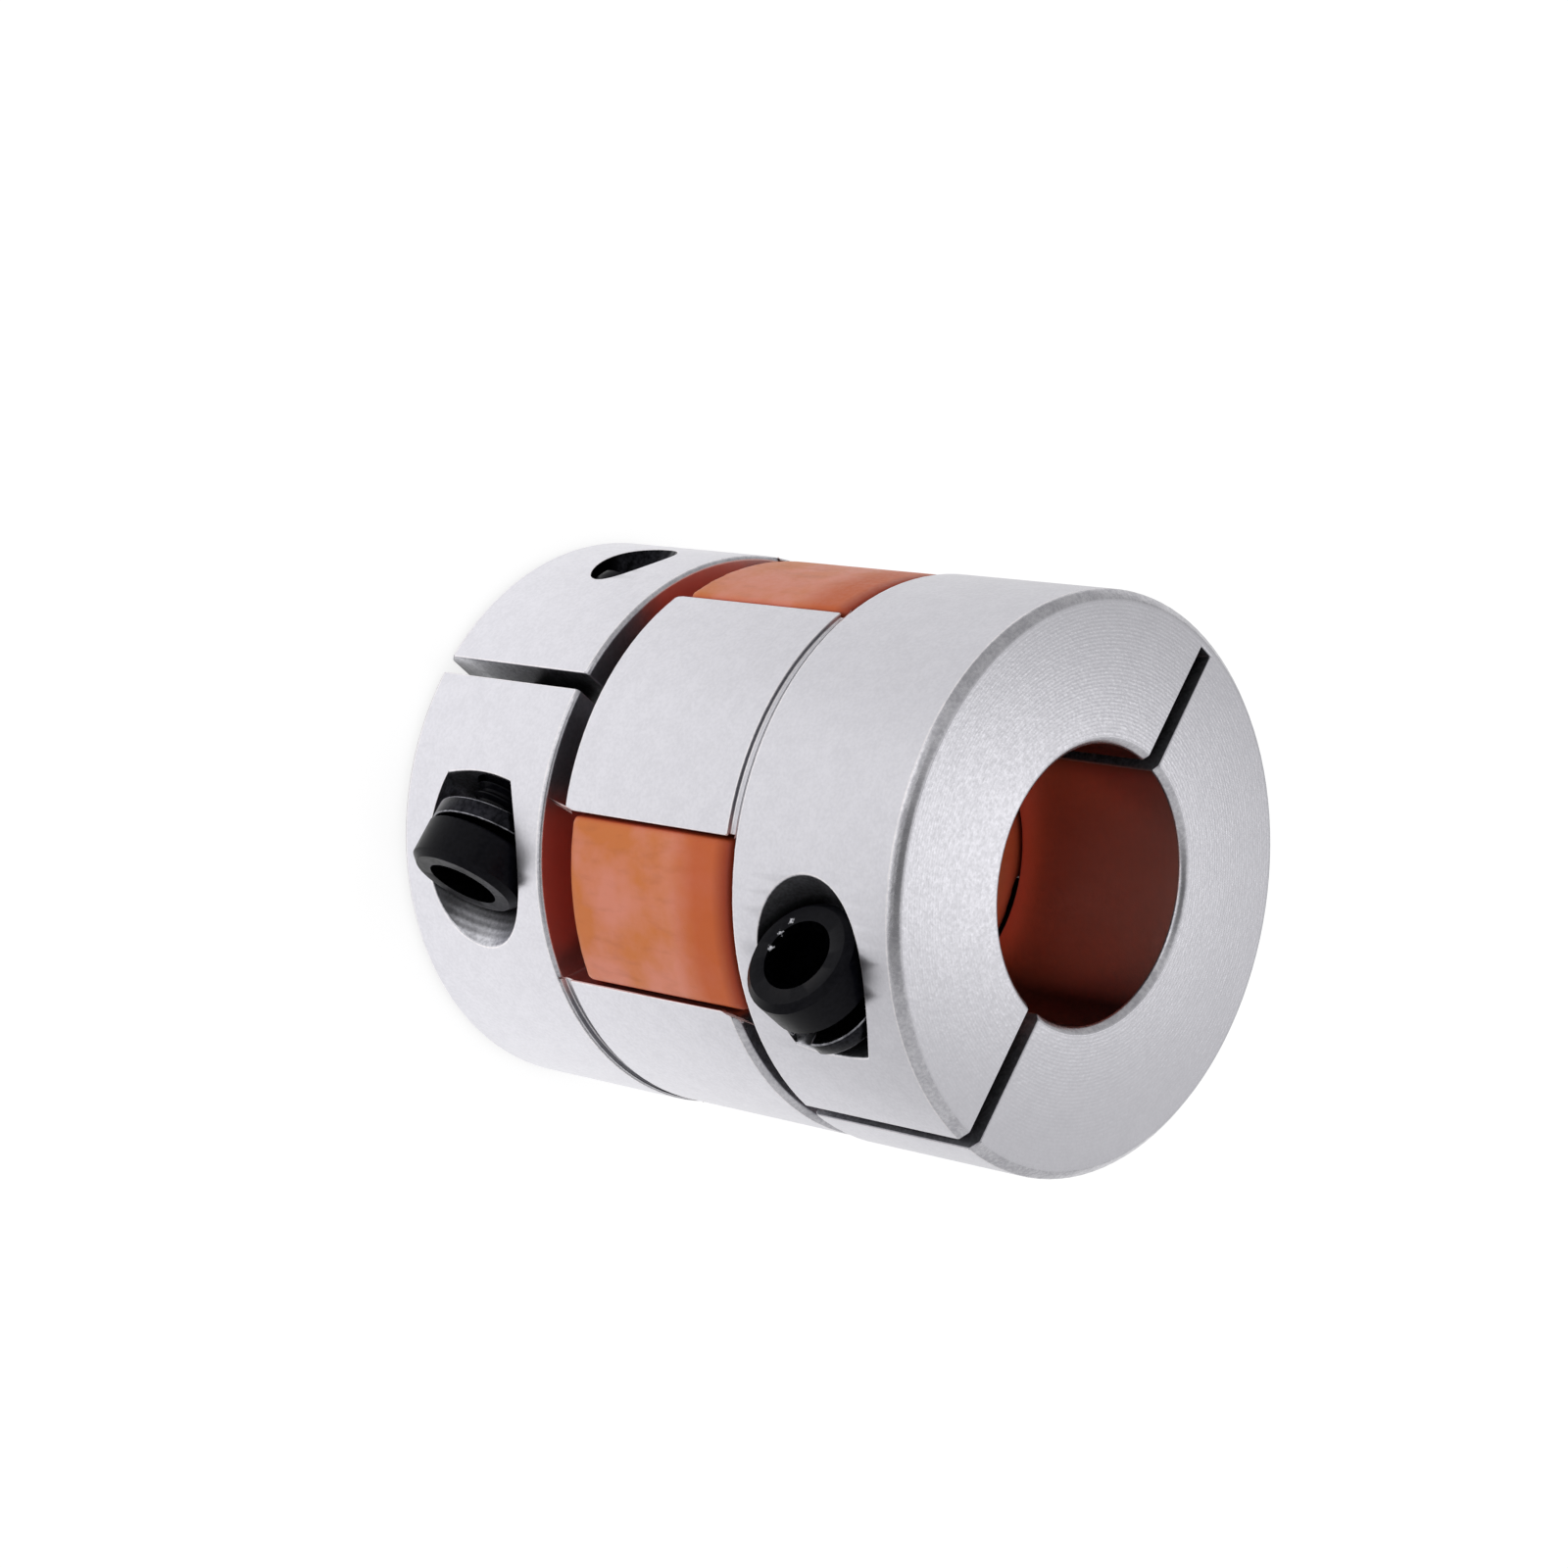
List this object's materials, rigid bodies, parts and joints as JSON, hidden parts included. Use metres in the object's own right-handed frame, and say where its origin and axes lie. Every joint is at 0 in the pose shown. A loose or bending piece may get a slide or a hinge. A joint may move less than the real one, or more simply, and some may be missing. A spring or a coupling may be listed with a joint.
{
  "type": "jaw coupling",
  "caption": "Flexible shaft coupling: slit clamp hubs whose jaws mesh through an elastomer cushion, with a socket head clamp screw across each slit.",
  "frame": {"origin": "on the shafts' axis, in the outer face of the lower hub", "axes": "+Z along the shafts' axis to the upper hub, +X to the open end of the upper hub's slit, +Y by the right-hand rule"},
  "size_m": [0.025, 0.025, 0.03],
  "materials": {
    "hub_aluminium": "satin",
    "cushion_polyurethane": "satin",
    "black_screw_steel": "black oxide",
    "washer_spring_steel": "satin"
  },
  "bodies": {
    "root": {"upper_hub": "hub_aluminium", "lower_hub": "hub_aluminium", "cushion": "cushion_polyurethane", "upper_clamp_screw": "black_screw_steel", "lower_clamp_screw": "black_screw_steel", "upper_lock_washer": "washer_spring_steel", "lower_lock_washer": "washer_spring_steel"}
  },
  "joints": []
}
